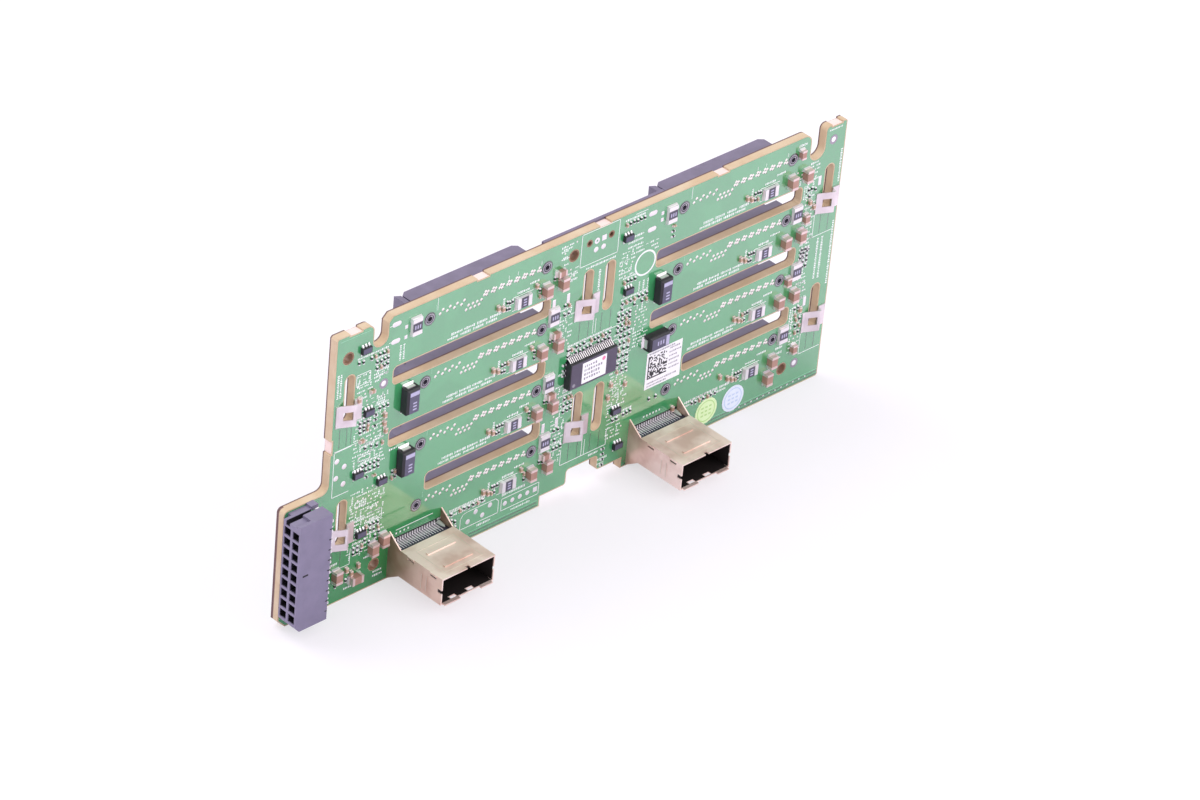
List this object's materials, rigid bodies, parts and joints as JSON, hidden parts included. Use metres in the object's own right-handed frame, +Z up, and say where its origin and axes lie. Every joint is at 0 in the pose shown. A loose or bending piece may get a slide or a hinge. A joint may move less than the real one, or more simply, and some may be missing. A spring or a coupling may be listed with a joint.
{
  "type": "drive backplane board",
  "caption": "Green backplane circuit board for 2.5 inch drives, with air slots, hook slots, two metal-shelled cable sockets and a right-angle power header.",
  "frame": {"origin": "under the middle of the whole, at the height of the board's lower edge, which it stands on", "axes": "+X along the board, to the right as seen from the component side; +Z up the board; the component side faces -Y"},
  "size_m": [0.1868, 0.0316, 0.0779],
  "materials": {
    "board_laminate": "glossy solder mask over fibreglass, tan at the cut edges",
    "connector_plastic": "moulded slate-black, satin",
    "header_plastic": "moulded slate, satin",
    "insulator_plastic": "moulded near-black, satin",
    "contact_gold": "thin gold plating",
    "tin_plate": "tinned, slightly uneven",
    "shell_steel": "nickel-plated sheet, satin",
    "chip_resin": "moulded resin, fine grain",
    "fuse_resin": "dark coated chip",
    "ceramic_brown": "fired, matte",
    "label_paper": "white, semi-gloss",
    "green_sticker": "pale green, semi-gloss",
    "blue_sticker": "pale blue, semi-gloss"
  },
  "bodies": {
    "root": {"circuit_board": "board_laminate", "rear_strip": "connector_plastic", "drive_connector_1": "connector_plastic", "drive_connector_2": "connector_plastic", "drive_connector_3": "connector_plastic", "drive_connector_4": "connector_plastic", "drive_connector_5": "connector_plastic", "drive_connector_6": "connector_plastic", "drive_connector_7": "connector_plastic", "drive_connector_8": "connector_plastic", "drive_contacts_1": "contact_gold", "drive_contacts_2": "contact_gold", "drive_contacts_3": "contact_gold", "drive_contacts_4": "contact_gold", "drive_contacts_5": "contact_gold", "drive_contacts_6": "contact_gold", "drive_contacts_7": "contact_gold", "drive_contacts_8": "contact_gold", "power_header_housing": "header_plastic", "power_header_pins": "tin_plate", "cable_socket_shell_1": "shell_steel", "cable_socket_insulator_1": "insulator_plastic", "cable_socket_leads_1": "tin_plate", "cable_socket_shell_2": "shell_steel", "cable_socket_insulator_2": "insulator_plastic", "cable_socket_leads_2": "tin_plate", "hook_clip_1": "tin_plate", "hook_clip_2": "tin_plate", "hook_clip_3": "tin_plate", "hook_clip_4": "tin_plate", "hook_clip_5": "tin_plate", "hook_clip_6": "tin_plate", "controller_chip": "chip_resin", "controller_pins": "tin_plate", "controller_label": "label_paper", "tantalum_capacitor_1": "chip_resin", "tantalum_capacitor_2": "chip_resin", "tantalum_capacitor_3": "chip_resin", "tantalum_capacitor_4": "chip_resin", "tantalum_terminals": "tin_plate", "chip_fuse_bodies": "fuse_resin", "chip_fuse_caps": "tin_plate", "ceramic_capacitor_bodies": "ceramic_brown", "ceramic_capacitor_caps": "tin_plate", "small_capacitor_bodies": "ceramic_brown", "small_capacitor_caps": "tin_plate", "small_chip_bodies": "chip_resin", "small_chip_leads": "tin_plate", "serial_label": "label_paper", "dot_label_1": "green_sticker", "dot_label_2": "blue_sticker"}
  },
  "joints": []
}
